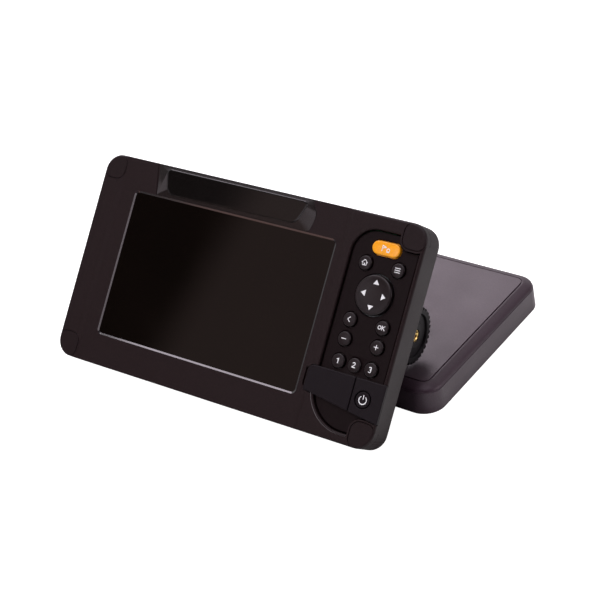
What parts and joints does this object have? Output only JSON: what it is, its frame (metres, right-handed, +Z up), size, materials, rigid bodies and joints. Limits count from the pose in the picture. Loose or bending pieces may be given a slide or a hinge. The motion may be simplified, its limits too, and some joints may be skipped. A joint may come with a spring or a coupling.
{
  "type": "chartplotter display",
  "caption": "Boat chartplotter with a wide screen, keypad, card door and side hubs, leaning back on its own flat sun cover.",
  "frame": {"origin": "middle of the footprint of display and sun cover, on the bench", "axes": "+X to the right across the screen, +Y from the screen towards the sun cover, +Z up"},
  "size_m": [0.272, 0.216, 0.1226],
  "materials": {
    "black_shell": "fine grained black plastic",
    "keypad_plastic": "fine grained black plastic",
    "soft_black": "soft-touch blue-black",
    "gloss_black": "polished black",
    "cover_glass": "bonded glossy dark glass",
    "key_black": "satin black",
    "key_orange": "translucent orange",
    "rubber_black": "plain",
    "silicone": "translucent grey",
    "lcd": "dark panel",
    "diffuser": "white diffuser",
    "sheet_steel": "stamped",
    "screw_steel": "zinc plated",
    "board_green": "solder mask",
    "chip": "moulded",
    "aluminium": "milled",
    "ceramic_tan": "fired",
    "ribbon": "polyimide film",
    "brass": "turned",
    "cover_plastic": "fine grained dark grey"
  },
  "bodies": {
    "display": {"front_bezel": "black_shell", "screen_glass": "cover_glass", "glass_gasket": "rubber_black", "lcd_panel": "lcd", "backlight": "diffuser", "lcd_frame": "sheet_steel", "badge_trim": "gloss_black", "badge_plate": "gloss_black", "keypad_panel": "keypad_plastic", "power_pad": "soft_black", "key_mat": "silicone", "dome_switches": "sheet_steel", "key_board": "board_green", "keypad_screws": "screw_steel", "card_reader": "sheet_steel", "cap_top_left": "soft_black", "cap_top_right": "soft_black", "cap_bottom_left": "soft_black", "cap_bottom_right": "soft_black", "rear_housing": "black_shell", "housing_seal": "rubber_black", "housing_screws": "screw_steel", "main_board": "board_green", "board_screws": "screw_steel", "processor": "chip", "heat_spreader": "aluminium", "sonar_shield": "sheet_steel", "gps_antenna": "ceramic_tan", "buzzer": "chip", "screen_ribbon": "ribbon", "keypad_ribbon": "ribbon", "vent_plug": "rubber_black", "power_connector": "keypad_plastic", "transducer_connector": "keypad_plastic", "connector_pins": "brass", "hub_left": "key_black", "hub_right": "key_black", "insert_left": "brass", "insert_right": "brass"},
    "waypoint_key": {"waypoint_key": "key_orange"},
    "home_key": {"home_key": "key_black"},
    "menu_key": {"menu_key": "key_black"},
    "back_key": {"back_key": "key_black"},
    "accept_key": {"accept_key": "key_black"},
    "zoom_out_key": {"zoom_out_key": "key_black"},
    "zoom_in_key": {"zoom_in_key": "key_black"},
    "key_1": {"key_1": "key_black"},
    "key_2": {"key_2": "key_black"},
    "key_3": {"key_3": "key_black"},
    "power_key": {"power_key": "soft_black"},
    "pad_rocker": {"pad_rocker": "chip"},
    "direction_pad": {"direction_pad": "key_black"},
    "card_door": {"card_door": "soft_black"},
    "sun_cover": {"sun_cover": "cover_plastic"}
  },
  "joints": [
    {"name": "waypoint_key_press", "type": "slide", "parent": "display", "child": "waypoint_key", "axis": [0, 0.766, -0.6429], "range_m": [0, 0.0008], "stiffness_N_per_m": 900},
    {"name": "home_key_press", "type": "slide", "parent": "display", "child": "home_key", "axis": [0, 0.766, -0.6429], "range_m": [0, 0.0008], "stiffness_N_per_m": 900},
    {"name": "menu_key_press", "type": "slide", "parent": "display", "child": "menu_key", "axis": [0, 0.766, -0.6429], "range_m": [0, 0.0008], "stiffness_N_per_m": 900},
    {"name": "back_key_press", "type": "slide", "parent": "display", "child": "back_key", "axis": [0, 0.766, -0.6429], "range_m": [0, 0.0008], "stiffness_N_per_m": 900},
    {"name": "accept_key_press", "type": "slide", "parent": "display", "child": "accept_key", "axis": [0, 0.766, -0.6429], "range_m": [0, 0.0008], "stiffness_N_per_m": 900},
    {"name": "zoom_out_key_press", "type": "slide", "parent": "display", "child": "zoom_out_key", "axis": [0, 0.766, -0.6429], "range_m": [0, 0.0008], "stiffness_N_per_m": 900},
    {"name": "zoom_in_key_press", "type": "slide", "parent": "display", "child": "zoom_in_key", "axis": [0, 0.766, -0.6429], "range_m": [0, 0.0008], "stiffness_N_per_m": 900},
    {"name": "key_1_press", "type": "slide", "parent": "display", "child": "key_1", "axis": [0, 0.766, -0.6429], "range_m": [0, 0.0008], "stiffness_N_per_m": 900},
    {"name": "key_2_press", "type": "slide", "parent": "display", "child": "key_2", "axis": [0, 0.766, -0.6429], "range_m": [0, 0.0008], "stiffness_N_per_m": 900},
    {"name": "key_3_press", "type": "slide", "parent": "display", "child": "key_3", "axis": [0, 0.766, -0.6429], "range_m": [0, 0.0008], "stiffness_N_per_m": 900},
    {"name": "power_key_press", "type": "slide", "parent": "display", "child": "power_key", "axis": [0, 0.766, -0.6429], "range_m": [0, 0.0008], "stiffness_N_per_m": 900},
    {"name": "pad_tilt_up_down", "type": "hinge", "parent": "display", "child": "pad_rocker", "pos_m": [0.0947, -0.04488, 0.08277], "axis": [1, 0, 0], "range_deg": [-2.5, 2.5], "stiffness_Nm_per_rad": 0.6},
    {"name": "pad_tilt_left_right", "type": "hinge", "parent": "pad_rocker", "child": "direction_pad", "pos_m": [0.0947, -0.04488, 0.08277], "axis": [0, 0.6429, 0.766], "range_deg": [-2.5, 2.5], "stiffness_Nm_per_rad": 0.6},
    {"name": "card_door_hinge", "type": "hinge", "parent": "display", "child": "card_door", "pos_m": [0.0986, -0.08763, 0.03759], "axis": [0, 0.6429, 0.766], "range_deg": [0, 100]},
    {"name": "sun_cover_slide", "type": "slide", "parent": "display", "child": "sun_cover", "axis": [0, 1, 0], "range_m": [0, 0.16]}
  ]
}
